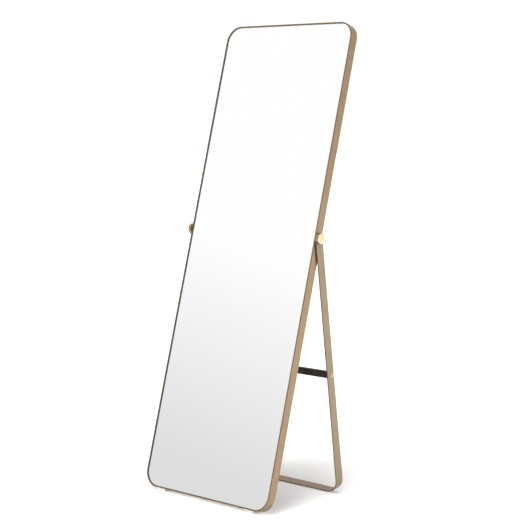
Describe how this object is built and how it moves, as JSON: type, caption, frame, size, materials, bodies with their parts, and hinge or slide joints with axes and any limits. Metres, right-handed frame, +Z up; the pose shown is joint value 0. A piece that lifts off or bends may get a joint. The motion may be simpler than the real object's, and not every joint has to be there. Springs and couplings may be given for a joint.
{
  "type": "cheval floor mirror",
  "caption": "Full-length floor mirror with round corners in a thin metal band, leaning back on a folding U-shaped leg with clamp knobs.",
  "frame": {"origin": "on the floor, under the middle of the standing mirror's bounding box", "axes": "+Z up, the glass faces -Y, +X to the right of a person who faces the mirror"},
  "size_m": [0.5912, 0.4746, 1.5998],
  "materials": {
    "frame_band": "satin",
    "leg_bar": "satin",
    "knob_brass": "polished",
    "insert_brass": "machined",
    "plain_steel": "zinc plated",
    "silvered_glass": "polished",
    "foam_tape": "matte",
    "batten_wood": "sawn",
    "hardboard": "matte",
    "bumper_rubber": "matte",
    "foot_pad": "matte",
    "black_paint": "satin",
    "black_plastic": "matte",
    "bush_nylon": "matte"
  },
  "bodies": {
    "mirror": {"frame": "frame_band", "frame_splice": "plain_steel", "splice_screws": "plain_steel", "glazing_strip": "foam_tape", "mirror_glass": "silvered_glass", "batten_left": "batten_wood", "batten_right": "batten_wood", "batten_top": "batten_wood", "batten_bottom": "batten_wood", "batten_middle": "batten_wood", "corner_blocks": "batten_wood", "back_board": "hardboard", "board_screws": "plain_steel", "hinge_insert_left": "insert_brass", "hinge_insert_right": "insert_brass", "stop_pin_left": "plain_steel", "stop_pin_right": "plain_steel", "frame_foot_left": "foot_pad", "frame_foot_right": "foot_pad", "frame_foot_screws": "plain_steel"},
    "leg": {"leg_frame": "leg_bar", "crossbar": "black_paint", "crossbar_plug_left": "black_plastic", "crossbar_plug_right": "black_plastic", "crossbar_bolt_left": "leg_bar", "crossbar_bolt_right": "leg_bar", "crossbar_bumpers": "bumper_rubber", "bumper_screws": "plain_steel", "leg_bush_left": "bush_nylon", "leg_bush_right": "bush_nylon", "leg_foot_left": "foot_pad", "leg_foot_right": "foot_pad", "leg_foot_screws": "plain_steel"},
    "knob_left": {"clamp_knob_left": "knob_brass", "knob_stud_left": "plain_steel", "knob_washer_left": "plain_steel"},
    "knob_right": {"clamp_knob_right": "knob_brass", "knob_stud_right": "plain_steel", "knob_washer_right": "plain_steel"}
  },
  "joints": [
    {"name": "leg_fold", "type": "hinge", "parent": "mirror", "child": "leg", "pos_m": [0, 0.02133, 0.88529], "axis": [-1, 0, 0], "range_deg": [0, 21.21]},
    {"name": "knob_left_turn", "type": "hinge", "parent": "mirror", "child": "knob_left", "pos_m": [-0.2965, 0.02133, 0.88529], "axis": [-1, 0, 0], "range_deg": [0, 270]},
    {"name": "knob_right_turn", "type": "hinge", "parent": "mirror", "child": "knob_right", "pos_m": [0.2965, 0.02133, 0.88529], "axis": [1, 0, 0], "range_deg": [0, 270]}
  ]
}
